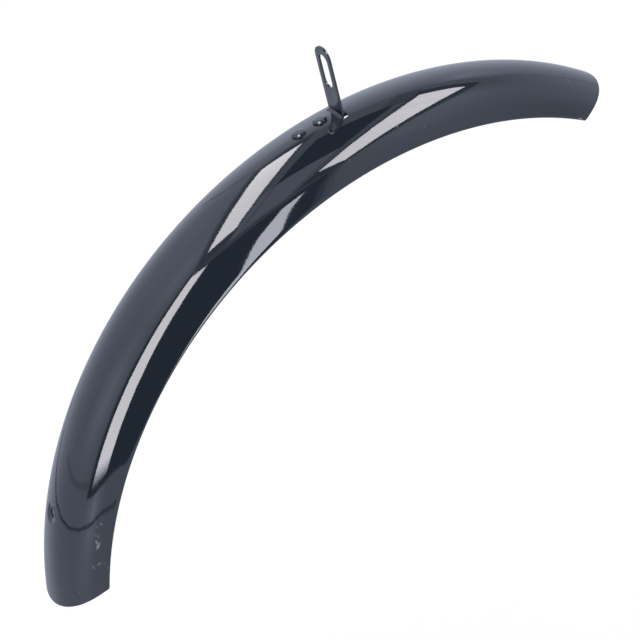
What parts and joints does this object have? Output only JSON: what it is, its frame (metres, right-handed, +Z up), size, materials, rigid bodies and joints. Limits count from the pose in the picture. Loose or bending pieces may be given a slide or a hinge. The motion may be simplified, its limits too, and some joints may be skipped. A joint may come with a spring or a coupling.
{
  "type": "bicycle mudguard",
  "caption": "Arched front mudguard for a small-wheeled bicycle: gloss black sheet-steel blade with rolled edges and a slotted fork bracket riveted through its crown.",
  "frame": {"origin": "middle of the bracket's bolt slot, half way through the strap", "axes": "+X forward along the fork bolt, +Y to the left, +Z up along the bracket's upright"},
  "size_m": [0.4189, 0.0644, 0.2386],
  "materials": {
    "black_paint": "gloss"
  },
  "bodies": {
    "root": {"mudguard_blade": "black_paint", "fork_bracket": "black_paint", "bracket_rivets": "black_paint"}
  },
  "joints": []
}
